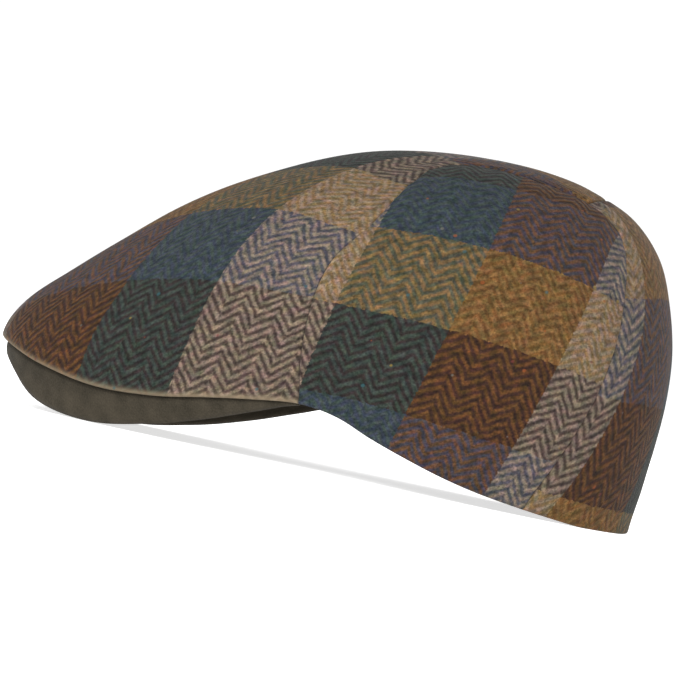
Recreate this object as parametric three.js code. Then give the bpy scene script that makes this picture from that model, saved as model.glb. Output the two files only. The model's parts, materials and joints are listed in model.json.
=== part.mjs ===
// A flat cap of woollen cloth with a curved, cloth-covered peak.
//
// The crown is sewn from four pieces. The front panel covers the peak and narrows to a waist on top of
// the crown. The back panel widens from that waist down to the rim. One ear-shaped side panel closes
// each side. The peak is a stiff curved board whose lip shows below the crown's front edge. The inside
// is hollow and open below.
//
// Millimetres, +Z up. The peak points along -X and the wearer's left side is -Y. The cap stands on the
// two sides of its peak's lip and on the back of its rim, and the origin is on that surface, in the
// middle of the cap's length and width.

import * as THREE from 'three';

// Driving dimensions
const HEAD_LENGTH = 204;      // head opening over the cloth, front to back
const HEAD_WIDTH = 172;       // head opening over the cloth, side to side
const PEAK_REACH = 62;        // from the head opening's front to the tip of the peak
const CROWN_HEIGHT = 137.5;   // from the surface to the top of the crown
const TOP_BEHIND_TIP = 187;   // how far behind the tip the crown is highest
const RIM_ARCH = 25;          // how high the rim stands over the surface above the ears
const PEAK_ROOT_HEIGHT = 40;  // height of the peak's inner edge in the middle of the forehead
const PEAK_CAMBER = 3;        // how far the peak's board bows up between its two edges
const LIP_DEPTH = 16;         // most of the peak's lip that shows below the crown's front edge
const LIP_FLARE = 1.6;        // how far the lip leans out at its lower edge
const PEAK_END_WIDTH = 6;     // width that the peak keeps at its two ends
const CLOTH = 2.5;            // wall of cloth and its backing
const BOARD = 3.4;            // peak board with its cloth cover
const SEAM_GAP = 0.3;         // space between two sewn edges
const PEAK_GAP = 0.4;         // space between the peak and the crown's cloth round it
const PLAN_ROUNDNESS = 2.3;   // 2 would make the plan an ellipse, more makes it squarer

// Where the crown's edge changes from peak to rim, and where the side panel ends at the back.
// Directions are seen from the head opening's middle: 0 is the peak's tip, 180 the middle of the back.
const PEAK_END = 70;
const SIDE_PANEL_END = 132;

// Facets
const ACROSS = 32;            // across the front and back panels and along the peak
const UP_SIDE = 15;           // up a side panel
const ALONG_SIDE = 14;        // along a side panel
const FRONT_ROWS = 25;        // of the seam's steps beside the front panel, the rest is the back panel's
const PEAK_ROWS = 5;          // from the peak's inner edge to the crown's edge
const LIP_ROWS = 2;           // down the lip
const BOW_FADE = 2.6;         // how fast a panel's rows of facets straighten away from a curved border
const SEAM_FINENESS = 20;     // points read from the seam's curve for each of its steps
const MAP_STEP = 0.004;       // short step on the round map, to feel the surface's slope and scale

const HEAD_MIDDLE = PEAK_REACH + HEAD_LENGTH / 2;

// Height of the crown's lower edge and drop of the lip below it, as shares of RIM_ARCH and LIP_DEPTH
const EDGE = [
  { direction: 0, height: 1.04, lip: 0.19 },
  { direction: 10, height: 0.95, lip: 0.47 },
  { direction: 20, height: 0.73, lip: 0.91 },
  { direction: 30, height: 0.58, lip: 0.89 },
  { direction: 40, height: 0.63, lip: 0.71 },
  { direction: 50, height: 0.79, lip: 0.55 },
  { direction: 60, height: 0.92, lip: 0.3 },
  { direction: 70, height: 1, lip: 0.05 },
  { direction: 80, height: 0.92, lip: 0 },
  { direction: 90, height: 0.7, lip: 0 },
  { direction: 100, height: 0.51, lip: 0 },
  { direction: 110, height: 0.34, lip: 0 },
  { direction: 120, height: 0.21, lip: 0 },
  { direction: 130, height: 0.12, lip: 0 },
  { direction: 140, height: 0.05, lip: 0 },
  { direction: 150, height: 0, lip: 0 },
  { direction: 180, height: 0, lip: 0 },
];

// The crown's outline from its top to its edge, seen in four directions, in ten even steps of cloth.
// out is a share of the plan distance from the top to the edge, up a share of the rise between them.
const OUTLINES = [
  {
    direction: 0,
    out: [0, 0.122, 0.242, 0.359, 0.47, 0.577, 0.678, 0.775, 0.87, 0.962, 1],
    up: [1, 0.989, 0.953, 0.891, 0.807, 0.707, 0.588, 0.448, 0.3, 0.145, 0],
  },
  {
    direction: 60,
    out: [0, 0.19, 0.375, 0.55, 0.71, 0.845, 0.945, 1.005, 1.03, 1.025, 1],
    up: [1, 0.991, 0.958, 0.898, 0.808, 0.697, 0.567, 0.427, 0.283, 0.14, 0],
  },
  {
    direction: 95,
    out: [0, 0.219, 0.433, 0.634, 0.809, 0.944, 1.033, 1.082, 1.092, 1.063, 1],
    up: [1, 0.993, 0.964, 0.907, 0.82, 0.705, 0.572, 0.43, 0.284, 0.139, 0],
  },
  {
    direction: 180,
    out: [0, 0.241, 0.477, 0.698, 0.866, 0.969, 1.032, 1.049, 1.044, 1.027, 1],
    up: [1, 0.991, 0.964, 0.909, 0.812, 0.687, 0.553, 0.415, 0.276, 0.138, 0],
  },
];

// A point of the crown's edge on the round map, where the top is at 0,0 and the edge is the circle of
// radius 1
function onEdge(direction) {
  const angle = THREE.MathUtils.degToRad(direction);
  return { back: -Math.cos(angle), side: Math.sin(angle) };
}

// The seam along a side panel on the same map, from the peak's end over the top to the back of the rim
const SEAM = [
  onEdge(PEAK_END),
  { back: -0.288, side: 0.77 },
  { back: -0.222, side: 0.61 },
  { back: -0.132, side: 0.505 },
  { back: -0.092, side: 0.375 },
  { back: -0.065, side: 0.26 },
  { back: 0.01, side: 0.2 },
  { back: 0.125, side: 0.17 },
  { back: 0.235, side: 0.145 },
  { back: 0.315, side: 0.158 },
  { back: 0.39, side: 0.215 },
  { back: 0.465, side: 0.29 },
  { back: 0.535, side: 0.37 },
  { back: 0.595, side: 0.465 },
  { back: 0.638, side: 0.59 },
  onEdge(SIDE_PANEL_END),
];

// Value of a table's column at a direction, on straight lines between its rows
function column(table, name, direction) {
  const next = Math.max(1, table.findIndex((row) => row.direction >= direction));
  const [a, b] = [table[next - 1], table[next]];
  const share = (direction - a.direction) / (b.direction - a.direction);
  return THREE.MathUtils.lerp(a[name], b[name], share);
}

// Smooth curve through evenly spaced values, from the crown's top to its edge. Past the top it goes on
// as its own mirror image, which is turned over where sign is -1. So out crosses the top straight and up
// is level there, and at the edge out stands still and up goes on falling: the cloth ends upright.
function smooth(values, share, sign) {
  const last = values.length - 1;
  const place = share * last;
  const first = Math.min(Math.floor(place), last - 1);
  const value = (k) => {
    if (k < 0) return sign * values[-k];
    if (k <= last) return values[k];
    return sign < 0 ? values[last - 1] : 2 * values[last] - values[last - 1];
  };
  const [a, b, c, d] = [first - 1, first, first + 1, first + 2].map(value);
  const f = place - first;
  return b + 0.5 * f * (c - a + f * (2 * a - 5 * b + 4 * c - d + f * (3 * (b - c) + d - a)));
}

// The outline's out or up share in any direction, easing from one outline to the next
function outline(name, direction, share) {
  const next = Math.max(1, OUTLINES.findIndex((row) => row.direction >= direction));
  const [a, b] = [OUTLINES[next - 1], OUTLINES[next]];
  const ease = THREE.MathUtils.smoothstep(direction, a.direction, b.direction);
  const sign = name === 'out' ? -1 : 1;
  return THREE.MathUtils.lerp(smooth(a[name], share, sign), smooth(b[name], share, sign), ease);
}

// A point of the crown's lower edge. Its plan is rounded round the head opening's middle.
function edgePoint(direction) {
  const angle = THREE.MathUtils.degToRad(direction);
  const reach = direction < 90 ? HEAD_MIDDLE : HEAD_LENGTH / 2;
  const along = (Math.abs(Math.cos(angle)) / reach) ** PLAN_ROUNDNESS;
  const across = (Math.abs(Math.sin(angle)) / (HEAD_WIDTH / 2)) ** PLAN_ROUNDNESS;
  const radius = (along + across) ** (-1 / PLAN_ROUNDNESS);
  const height = RIM_ARCH * column(EDGE, 'height', direction);
  return new THREE.Vector3(HEAD_MIDDLE - radius * Math.cos(angle), radius * Math.sin(angle), height);
}

// The crown's outer surface at a point of its round map
function crownPoint(back, side) {
  const share = Math.hypot(back, side);
  const direction = THREE.MathUtils.radToDeg(Math.atan2(Math.abs(side), -back));
  const edge = edgePoint(direction);
  const out = outline('out', direction, share);
  const up = outline('up', direction, share);
  return new THREE.Vector3(
    TOP_BEHIND_TIP + out * (edge.x - TOP_BEHIND_TIP),
    Math.sign(side) * out * edge.y,
    edge.z + up * (CROWN_HEIGHT - edge.z),
  );
}

// The surface's outward direction there, from two short steps on the map
function crownNormal(back, side) {
  const alongBack = crownPoint(back + MAP_STEP, side).sub(crownPoint(back - MAP_STEP, side));
  const alongSide = crownPoint(back, side + MAP_STEP).sub(crownPoint(back, side - MAP_STEP));
  return alongBack.cross(alongSide).normalize();
}

// A patch of the round map between four border lines, as rows of map points. Each row is straight
// from left to right, and bows as the bottom and top lines do, less and less with distance from them.
function patch(bottom, top, left, right) {
  const columns = bottom.length - 1;
  const rows = left.length - 1;
  const bow = (line, j) => line[j].clone().sub(line[0].clone().lerp(line[columns], j / columns));
  return left.map((start, i) => bottom.map((_, j) => (
    start.clone().lerp(right[i], j / columns)
      .addScaledVector(bow(bottom, j), (1 - i / rows) ** BOW_FADE)
      .addScaledVector(bow(top, j), (i / rows) ** BOW_FADE))));
}

// A closed wall between an outer and an inner grid of points
function wall(outer, inner) {
  const rows = outer.length - 1;
  const columns = outer[0].length - 1;
  const points = [...outer.flat(), ...inner.flat()];
  const out = (i, j) => i * (columns + 1) + j;
  const into = (i, j) => out(rows + 1 + i, j);
  const index = [];
  const quad = (a, b, c, d) => index.push(a, b, c, a, c, d);
  for (let i = 0; i < rows; i += 1) {
    for (let j = 0; j < columns; j += 1) {
      quad(out(i, j), out(i, j + 1), out(i + 1, j + 1), out(i + 1, j));
      quad(into(i, j), into(i + 1, j), into(i + 1, j + 1), into(i, j + 1));
    }
    quad(out(i, 0), out(i + 1, 0), into(i + 1, 0), into(i, 0));
    quad(out(i, columns), into(i, columns), into(i + 1, columns), out(i + 1, columns));
  }
  for (let j = 0; j < columns; j += 1) {
    quad(out(0, j), into(0, j), into(0, j + 1), out(0, j + 1));
    quad(out(rows, j), out(rows, j + 1), into(rows, j + 1), into(rows, j));
  }
  const geometry = new THREE.BufferGeometry();
  const position = points.flatMap((p) => p.toArray());
  geometry.setAttribute('position', new THREE.Float32BufferAttribute(position, 3));
  geometry.setIndex(signedVolume(points, index) < 0 ? index.reverse() : index);
  geometry.computeVertexNormals();
  return geometry;
}

function signedVolume(points, index) {
  let volume = 0;
  for (let k = 0; k < index.length; k += 3) {
    const [a, b, c] = [points[index[k]], points[index[k + 1]], points[index[k + 2]]];
    volume += a.dot(b.clone().cross(c)) / 6;
  }
  return volume;
}

// Round map points along the crown's edge, from one direction to another
function edgeLine(from, to, steps, side) {
  return Array.from({ length: steps + 1 }, (_, k) => {
    const place = onEdge(THREE.MathUtils.lerp(from, to, k / steps));
    return new THREE.Vector2(place.back, side * place.side);
  });
}

// Distance on the crown between two map points
function crownDistance(a, b) {
  return crownPoint(a.x, a.y).distanceTo(crownPoint(b.x, b.y));
}

// The seam's map points, evenly spaced on the crown and moved half a seam gap towards one panel
function seamLine(side, towards) {
  const steps = 2 * UP_SIDE + ALONG_SIDE;
  const curve = new THREE.SplineCurve(SEAM.map((row) => new THREE.Vector2(row.back, row.side)));
  const fine = curve.getPoints(SEAM_FINENESS * steps);
  const lengths = [0];
  fine.slice(1).forEach((p, k) => lengths.push(lengths[k] + crownDistance(p, fine[k])));
  return Array.from({ length: steps + 1 }, (_, k) => {
    const wanted = lengths.at(-1) * k / steps;
    const found = Math.max(1, lengths.findIndex((length) => length >= wanted));
    const next = Math.min(found, fine.length - 1);
    const share = (wanted - lengths[next - 1]) / (lengths[next] - lengths[next - 1]);
    const point = fine[next - 1].clone().lerp(fine[next], share);
    const along = fine[next].clone().sub(fine[next - 1]).normalize();
    const out = new THREE.Vector2(-along.y, along.x).multiplyScalar(towards * MAP_STEP);
    const width = crownDistance(point.clone().add(out), point);
    point.addScaledVector(out, SEAM_GAP / 2 / width);
    return new THREE.Vector2(point.x, side * point.y);
  });
}

// One crown panel from its map grid. Edges on the rim are cut level, so that the cap stands on them.
function panel(grid, levelRows) {
  const outer = grid.map((row) => row.map((p) => crownPoint(p.x, p.y)));
  const inner = grid.map((row, i) => row.map((p, j) => {
    const point = outer[i][j].clone().addScaledVector(crownNormal(p.x, p.y), -CLOTH);
    if (levelRows.includes(i)) point.z = outer[i][j].z;
    return point;
  }));
  return wall(outer, inner);
}

// The front and back panels' map grids. They are cut from one grid between the side seams, and each
// ends half a seam gap short of the row where it is cut.
function frontAndBack() {
  const left = seamLine(-1, -1);
  const right = seamLine(1, -1);
  const front = edgeLine(-PEAK_END, PEAK_END, ACROSS, 1);
  const back = edgeLine(360 - SIDE_PANEL_END, SIDE_PANEL_END, ACROSS, 1);
  // The edge lines end where the seams end, half a gap inside the panels
  [front[0], front[ACROSS], back[0], back[ACROSS]] = [left[0], right[0], left.at(-1), right.at(-1)];
  const grid = patch(front, back, left, right);
  const short = (row, next) => row.map((p, j) => (
    p.clone().lerp(next[j], SEAM_GAP / 2 / crownDistance(p, next[j]))));
  const waist = grid[FRONT_ROWS];
  return {
    front: [...grid.slice(0, FRONT_ROWS), short(waist, grid[FRONT_ROWS - 1])],
    back: [short(waist, grid[FRONT_ROWS + 1]), ...grid.slice(FRONT_ROWS + 1)],
  };
}

function sidePanel(side) {
  const seam = seamLine(side, 1);
  const rim = edgeLine(PEAK_END, SIDE_PANEL_END, ALONG_SIDE, side);
  [rim[0], rim[ALONG_SIDE]] = [seam[0], seam.at(-1)];
  const front = seam.slice(0, UP_SIDE + 1);
  const top = seam.slice(UP_SIDE, UP_SIDE + ALONG_SIDE + 1);
  const back = seam.slice(UP_SIDE + ALONG_SIDE).reverse();
  return panel(patch(rim, top, front, back), [0]);
}

// Where the middle of the peak's board meets the crown's edge, and the level way out from there
function peakMeet(direction) {
  const angle = THREE.MathUtils.degToRad(direction);
  const [back, side] = [-Math.cos(angle), Math.sin(angle)];
  const edge = crownPoint(back, side);
  const normal = crownNormal(back, side);
  const outward = normal.clone().setZ(0).normalize();
  const meet = edge.clone().addScaledVector(normal, -CLOTH).setZ(edge.z);
  meet.addScaledVector(outward, -PEAK_GAP - BOARD / 2);
  return { meet, outward };
}

// The peak's middle surface in one direction, from the forehead to the lip's lower edge
function peakSection(direction) {
  const sign = Math.sign(direction) || 1;
  const size = Math.abs(direction);
  const { meet, outward } = peakMeet(size);
  const end = peakMeet(PEAK_END).meet;
  const lastTurn = Math.acos((HEAD_MIDDLE - end.x) / (HEAD_LENGTH / 2));
  const turn = lastTurn * size / PEAK_END;
  const root = new THREE.Vector3(
    HEAD_MIDDLE - HEAD_LENGTH / 2 * Math.cos(turn),
    (end.y - PEAK_END_WIDTH) * Math.sin(turn) / Math.sin(lastTurn),
    THREE.MathUtils.lerp(PEAK_ROOT_HEIGHT, end.z, (1 - Math.cos(turn)) / (1 - Math.cos(lastTurn))),
  );
  const share = column(EDGE, 'lip', size);
  const lip = meet.clone().addScaledVector(outward, LIP_FLARE * share);
  lip.z -= LIP_DEPTH * share;
  const points = [];
  for (let k = 0; k <= PEAK_ROWS; k += 1) {
    const point = root.clone().lerp(meet, k / PEAK_ROWS);
    point.z += PEAK_CAMBER * Math.sin(Math.PI * k / PEAK_ROWS);
    points.push(point);
  }
  for (let k = 1; k <= LIP_ROWS; k += 1) points.push(meet.clone().lerp(lip, k / LIP_ROWS));
  points.forEach((point) => { point.y *= sign; });
  return points;
}

function peak() {
  const grid = Array.from({ length: ACROSS + 1 }, (_, k) => (
    peakSection(THREE.MathUtils.lerp(-PEAK_END, PEAK_END, k / ACROSS))));
  const rows = grid.length - 1;
  const columns = grid[0].length - 1;
  const normal = (i, j) => {
    const across = grid[Math.min(i + 1, rows)][j].clone().sub(grid[Math.max(i - 1, 0)][j]);
    const outwards = grid[i][Math.min(j + 1, columns)].clone().sub(grid[i][Math.max(j - 1, 0)]);
    return outwards.cross(across).normalize();
  };
  const offset = (distance) => grid.map((row, i) => row.map((point, j) => (
    point.clone().addScaledVector(normal(i, j), distance))));
  return wall(offset(BOARD / 2), offset(-BOARD / 2));
}

function material(color) {
  return new THREE.MeshStandardMaterial({ color, roughness: 0.95, metalness: 0 });
}

function piece(name, geometry, color) {
  const mesh = new THREE.Mesh(geometry, material(color));
  mesh.name = name;
  return mesh;
}

const { front, back } = frontAndBack();
const cap = new THREE.Group();
cap.add(
  piece('front_panel', panel(front, [0]), 0x6b5a4c),
  piece('back_panel', panel(back, [back.length - 1]), 0x6b5a4c),
  piece('side_panel_left', sidePanel(-1), 0x7a6248),
  piece('side_panel_right', sidePanel(1), 0x7a6248),
  piece('peak', peak(), 0x3c3a30),
);

// The origin goes under the middle of the cap, on the surface that it stands on
const box = new THREE.Box3().setFromObject(cap);
cap.position.set(-(box.min.x + box.max.x) / 2, 0, -box.min.z);

export default cap;
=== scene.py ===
# %% [markdown]
# # A patchwork tweed flat cap
# The cap is sewn from four pieces of woollen tweed and a peak with a plain wool cover. The tweed is
# woven in herringbone: stripes of three warp colours cross stripes of three weft colours, and each
# crossing makes a block of its own shade. This notebook takes the cap's place from the frame, models
# each cut piece as a wall of cloth, flattens it as a cutter would, and draws the weave on it in
# millimetres. Lengths are in millimetres behind the peak's tip until a mesh is made.

# %% Empty scene, then the frame and its box
import json
import math
import bpy
import numpy as np
from mathutils import Matrix, Vector, noise

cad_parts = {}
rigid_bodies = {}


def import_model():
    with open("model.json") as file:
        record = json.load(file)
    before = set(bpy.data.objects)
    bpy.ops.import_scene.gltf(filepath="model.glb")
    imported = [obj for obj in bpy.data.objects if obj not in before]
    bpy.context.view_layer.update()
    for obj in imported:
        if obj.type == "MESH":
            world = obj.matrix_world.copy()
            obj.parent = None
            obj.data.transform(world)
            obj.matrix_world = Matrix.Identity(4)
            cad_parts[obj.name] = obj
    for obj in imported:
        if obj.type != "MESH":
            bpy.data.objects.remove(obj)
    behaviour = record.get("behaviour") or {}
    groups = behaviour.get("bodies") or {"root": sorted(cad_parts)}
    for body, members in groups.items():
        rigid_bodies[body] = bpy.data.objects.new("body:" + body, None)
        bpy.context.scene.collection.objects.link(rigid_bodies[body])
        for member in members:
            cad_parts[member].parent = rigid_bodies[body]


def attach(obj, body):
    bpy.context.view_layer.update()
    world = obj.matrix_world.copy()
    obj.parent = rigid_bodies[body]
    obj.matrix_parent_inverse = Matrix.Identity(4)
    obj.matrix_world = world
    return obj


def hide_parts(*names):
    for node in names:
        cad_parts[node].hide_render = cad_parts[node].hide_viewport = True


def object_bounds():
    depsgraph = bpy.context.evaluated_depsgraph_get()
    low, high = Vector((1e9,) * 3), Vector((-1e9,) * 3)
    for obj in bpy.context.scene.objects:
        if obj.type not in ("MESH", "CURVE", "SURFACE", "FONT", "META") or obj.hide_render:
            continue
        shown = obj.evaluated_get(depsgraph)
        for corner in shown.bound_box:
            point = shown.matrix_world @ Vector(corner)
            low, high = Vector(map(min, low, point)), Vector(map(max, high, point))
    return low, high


for leftover in list(bpy.data.objects):
    bpy.data.objects.remove(leftover)
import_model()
cad_box = [list(corner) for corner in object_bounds()]
MM = 0.001
TIP_X = cad_box[0][0] / MM
print("box of the solids in mm:", [[round(c / MM, 1) for c in corner] for corner in cad_box])

# %% [markdown]
# ## The crown's surface
# The crown is one rounded form that the four panels share. A point of it is named by its place on a
# round map: the top of the crown is the map's middle and the lower edge is the circle of radius 1.
# Short tables give the edge's height and the outline in four directions. The form could be sculpted as
# well, but everything sewn to the crown asks one function for its place, so the pieces fit without any
# fitting.

# %% Sizes of the cap in mm
HEAD_LENGTH = 204.0
HEAD_WIDTH = 172.0
PEAK_REACH = 62.0
CROWN_HEIGHT = 137.5
TOP_BEHIND_TIP = 187.0
RIM_ARCH = 25.0
PEAK_ROOT_HEIGHT = 40.0
PEAK_CAMBER = 3.0
LIP_DEPTH = 16.0
LIP_FLARE = 1.6
PEAK_END_WIDTH = 6.0
CLOTH = 2.5
BOARD = 3.4
PEAK_GAP = 0.4
PLAN_ROUNDNESS = 2.3
PEAK_END = 70.0
SIDE_PANEL_END = 132.0
HEAD_MIDDLE = PEAK_REACH + HEAD_LENGTH / 2

# %% Tables of the edge, the outlines and the seam
EDGE_DIRECTION = [0, 10, 20, 30, 40, 50, 60, 70, 80, 90, 100, 110, 120, 130, 140, 150, 165, 180]
EDGE_HEIGHT = [1.04, .95, .73, .58, .63, .79, .92, 1, .92, .7, .51, .34, .21, .12, .05, 0, 0, 0]
EDGE_LIP = [.19, .47, .91, .89, .71, .55, .3, .05, 0, 0, 0, 0, 0, 0, 0, 0, 0, 0]
OUTLINE_DIRECTION = [0, 60, 95, 180]
OUTLINE_OUT = [
    [0, .122, .242, .359, .47, .577, .678, .775, .87, .962, 1],
    [0, .19, .375, .55, .71, .845, .945, 1.005, 1.03, 1.025, 1],
    [0, .219, .433, .634, .809, .944, 1.033, 1.082, 1.092, 1.063, 1],
    [0, .241, .477, .698, .866, .969, 1.032, 1.049, 1.044, 1.027, 1],
]
OUTLINE_UP = [
    [1, .989, .953, .891, .807, .707, .588, .448, .3, .145, 0],
    [1, .991, .958, .898, .808, .697, .567, .427, .283, .14, 0],
    [1, .993, .964, .907, .82, .705, .572, .43, .284, .139, 0],
    [1, .991, .964, .909, .812, .687, .553, .415, .276, .138, 0],
]
SEAM_BACK = [-.288, -.222, -.132, -.092, -.065, .01, .125, .235, .315, .39, .465, .535, .595, .638]
SEAM_SIDE = [.77, .61, .505, .375, .26, .2, .17, .145, .158, .215, .29, .37, .465, .59]
SIDE_CORNERS = (15 / 44, 29 / 44)
WAIST = 25 / 44


# %% Smooth curves through the tables
EDGE_STEP = 10


def curve_through(line, place):
    """Smooth curve through the rows of a table that has one extra row at each end."""
    first = np.clip(place.astype(int), 0, len(line) - 4)
    a, b, c, d = (line[first + k] for k in range(4))
    f = (place - first).reshape(place.shape + (1,) * (line.ndim - 1))
    return b + .5 * f * (c - a + f * (2 * a - 5 * b + 4 * c - d + f * (3 * (b - c) + d - a)))


def outline_at(values, share, sign):
    """Reading of an outline's column, mirrored past the crown's top and upright at its edge."""
    values = np.asarray(values, float)
    last = len(values) - 1
    past_edge = values[last - 1] if sign < 0 else 2 * values[last] - values[last - 1]
    line = np.concatenate([[sign * values[1]], values, [past_edge]])
    return curve_through(line, share * last)


def along_edge(values, direction):
    """Reading of an edge column: the even steps of its table, through a smooth curve."""
    even = np.interp(np.arange(0, 181, EDGE_STEP), EDGE_DIRECTION, values)
    line = np.concatenate([[even[1]], even, [even[-2]]])
    return curve_through(line, np.clip(np.asarray(direction, float), 0, 180) / EDGE_STEP)


# %% Points and outward directions of the crown
def crown(back, side):
    """Point of the crown's outer surface in mm behind the tip, for arrays of map places."""
    back, side = np.broadcast_arrays(np.asarray(back, float), np.asarray(side, float))
    share = np.hypot(back, side)
    angle = np.arctan2(np.abs(side), -back)
    direction = np.degrees(angle)
    reach = np.where(direction < 90, HEAD_MIDDLE, HEAD_LENGTH / 2)
    spread = (np.abs(np.cos(angle)) / reach) ** PLAN_ROUNDNESS
    spread = spread + (np.abs(np.sin(angle)) / (HEAD_WIDTH / 2)) ** PLAN_ROUNDNESS
    radius = spread ** (-1 / PLAN_ROUNDNESS)
    edge_x = HEAD_MIDDLE - radius * np.cos(angle)
    edge_y = radius * np.sin(angle)
    edge_z = RIM_ARCH * along_edge(EDGE_HEIGHT, direction)
    segment = np.clip(np.searchsorted(OUTLINE_DIRECTION, direction) - 1, 0, 2)
    start = np.take(OUTLINE_DIRECTION, segment)
    step = np.take(OUTLINE_DIRECTION, segment + 1) - start
    ease = (direction - start) / step
    ease = ease * ease * (3 - 2 * ease)
    out = np.zeros_like(share)
    up = np.zeros_like(share)
    for k in range(3):
        here = segment == k
        outs = [outline_at(OUTLINE_OUT[k + j], share, -1) for j in (0, 1)]
        ups = [outline_at(OUTLINE_UP[k + j], share, 1) for j in (0, 1)]
        out = np.where(here, outs[0] + ease * (outs[1] - outs[0]), out)
        up = np.where(here, ups[0] + ease * (ups[1] - ups[0]), up)
    x = TOP_BEHIND_TIP + out * (edge_x - TOP_BEHIND_TIP)
    return np.stack([x, np.sign(side) * out * edge_y, edge_z + up * (CROWN_HEIGHT - edge_z)], -1)


def crown_normal(back, side, step=.004):
    """Outward direction at map places, from the crown's points a small step to each side."""
    along_back = crown(back + step, side) - crown(back - step, side)
    along_side = crown(back, side + step) - crown(back, side - step)
    out = np.cross(along_back, along_side)
    return out / np.linalg.norm(out, axis=-1, keepdims=True)


print("crown's top and its back edge in mm:", crown(0, 0).round(1), crown(1, 0).round(1))

# %% [markdown]
# ## Cutting the panels
# A sewn cap shows its seams as shallow valleys, because each edge is turned under before it is stitched.
# So each panel is a grid between its borders, with extra rows close to them, where the cloth rolls
# down into the seam or round the folded hem. The grid could be made from a subdivided box, but rows that
# follow the seams keep the valleys crisp with few faces.

# %% Border lines on the map
SEAM_STEPS = 1200
ROWS_FROM_EDGE = (0, .3, .7, 1.1, 1.6, 2.2, 3, 4.2, 6)


def edge_line(start, end, places, side):
    """Part of the crown's lower edge, from one direction in degrees to another."""
    angle = np.radians(start + (end - start) * places)
    return np.stack([-np.cos(angle), side * np.sin(angle)], -1)


def seam_line(side, places):
    """The seam from the peak's end over the top to the back of the rim, evenly spaced on the crown."""
    ends = [(-math.cos(math.radians(a)), math.sin(math.radians(a))) for a in (PEAK_END, SIDE_PANEL_END)]
    rows = np.array([ends[0], *zip(SEAM_BACK, SEAM_SIDE), ends[1]])
    line = np.concatenate([rows[:1], rows, rows[-1:]])
    fine = curve_through(line, np.linspace(0, len(rows) - 1, SEAM_STEPS))
    steps = np.linalg.norm(np.diff(crown(fine[:, 0], fine[:, 1]), axis=0), axis=1)
    length = np.concatenate([[0], np.cumsum(steps)])
    wanted = np.asarray(places) * length[-1]
    back, out = (np.interp(wanted, length, fine[:, k]) for k in (0, 1))
    return np.stack([back, side * out], -1)


def shares(count, length):
    """Shares of a line, close together for the first and last few millimetres."""
    near = np.array(ROWS_FROM_EDGE) / length
    middle = np.linspace(near[-1], 1 - near[-1], count)[1:-1]
    return np.concatenate([near, middle, 1 - near[::-1]])


# %% Patch between four borders
BOW_FADE = 2.6


def patch(bottom, top, left, right, across, up):
    """Map places of a grid. Rows bow as the bottom and top borders do, less with distance from them."""
    u = across[None, :, None]
    v = up[:, None, None]

    def bow(line):
        return line[None] - (line[0] + u * (line[-1] - line[0]))
    straight = left[:, None] + u * (right[:, None] - left[:, None])
    return straight + bow(bottom) * (1 - v) ** BOW_FADE + bow(top) * v ** BOW_FADE


# %% [markdown]
# ## Turning a grid into cloth
# The outer face follows the crown, the inner face lies one cloth thickness inside it. Near a seam the
# outer face rolls down a quarter circle, and small puckers run across it. Near a folded edge both faces
# round off to meet each other. Along the rim the inner face is thicker for the height of the hem, where
# the cloth is turned up inside. A cloth simulation could drape the panels, but a cap's cloth is held by
# its seams and hardly hangs, so soft noise of half a millimetre gives it enough life.

# %% Cloth edges
SEAM_ROLL = 1.7
SEAM_DEPTH = .8
SEAM_HOLLOW = .35
SEAM_HOLLOW_WIDTH = 6.0
PUCKER = .3
PUCKER_LENGTH = 11.0
PUCKER_WIDTH = 5.0
PUCKER_START = 2.0
FOLD_RADIUS = 1.3
FOLD_OUTER = .95
FOLD_INNER = .85
HEM_HEIGHT = 14.0
HEM_THICKNESS = 1.1
HEM_STEP = 1.5
LEAST_CLOTH = .25
DRAPE = .55
DRAPE_LENGTH = 38.0
DRAPE_START = 12.0


def roll(distance, width, depth):
    """How far a rounded edge has dropped, at a distance from it."""
    inside = np.clip(1 - distance / width, 0, 1)
    return depth * (1 - np.sqrt(1 - inside ** 2))


def run(points, axis):
    """Distance along a grid's lines from their start, in mm."""
    steps = np.linalg.norm(np.diff(points, axis=axis), axis=-1)
    total = np.cumsum(steps, axis=axis)
    pad = [(0, 0), (0, 0)]
    pad[axis] = (1, 0)
    return np.pad(total, pad)


def to_border(points):
    """Distances to the left, right, bottom and top borders of a grid."""
    across, up = run(points, 1), run(points, 0)
    return across, across[:, -1:] - across, up, up[-1:] - up


def wavy(points, length, seed):
    """Soft, even noise between about -1 and 1 at each point."""
    shift = Vector((seed, seed * 2.3, 0))
    flat = points.reshape(-1, 3) / length
    values = [noise.noise(Vector(p) + shift) for p in flat]
    return np.array(values).reshape(points.shape[:-1])


# %% How far the cloth leaves the crown
def cloth_faces(places, seams, folds, seed):
    """Points of a panel, their distances to its borders, and how far its outer and inner face leave the
    crown. seams and folds name borders: left, right, bottom, top."""
    points = crown(places[..., 0], places[..., 1])
    normal = crown_normal(places[..., 0], places[..., 1])
    distance = dict(zip(("left", "right", "bottom", "top"), to_border(points)))
    inland = np.clip(np.min(list(distance.values()), 0) / DRAPE_START, 0, 1)
    drop = -DRAPE * wavy(points, DRAPE_LENGTH, seed) * inland
    lift = np.zeros_like(drop)
    for name in seams:
        d = distance[name]
        along = run(points, 0 if name in ("left", "right") else 1)
        pucker = PUCKER * np.sin(along * 2 * np.pi / PUCKER_LENGTH)
        drop += roll(d, SEAM_ROLL, SEAM_DEPTH)
        drop += SEAM_HOLLOW * np.exp(-(d / SEAM_HOLLOW_WIDTH) ** 2)
        drop += pucker * np.exp(-(d / PUCKER_WIDTH) ** 2) * np.clip(d / PUCKER_START, 0, 1)
    for name in folds:
        drop += roll(distance[name], FOLD_RADIUS, FOLD_RADIUS * FOLD_OUTER)
        lift += roll(distance[name], FOLD_RADIUS, FOLD_RADIUS * FOLD_INNER)
    return points, normal, distance, drop, lift


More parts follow.
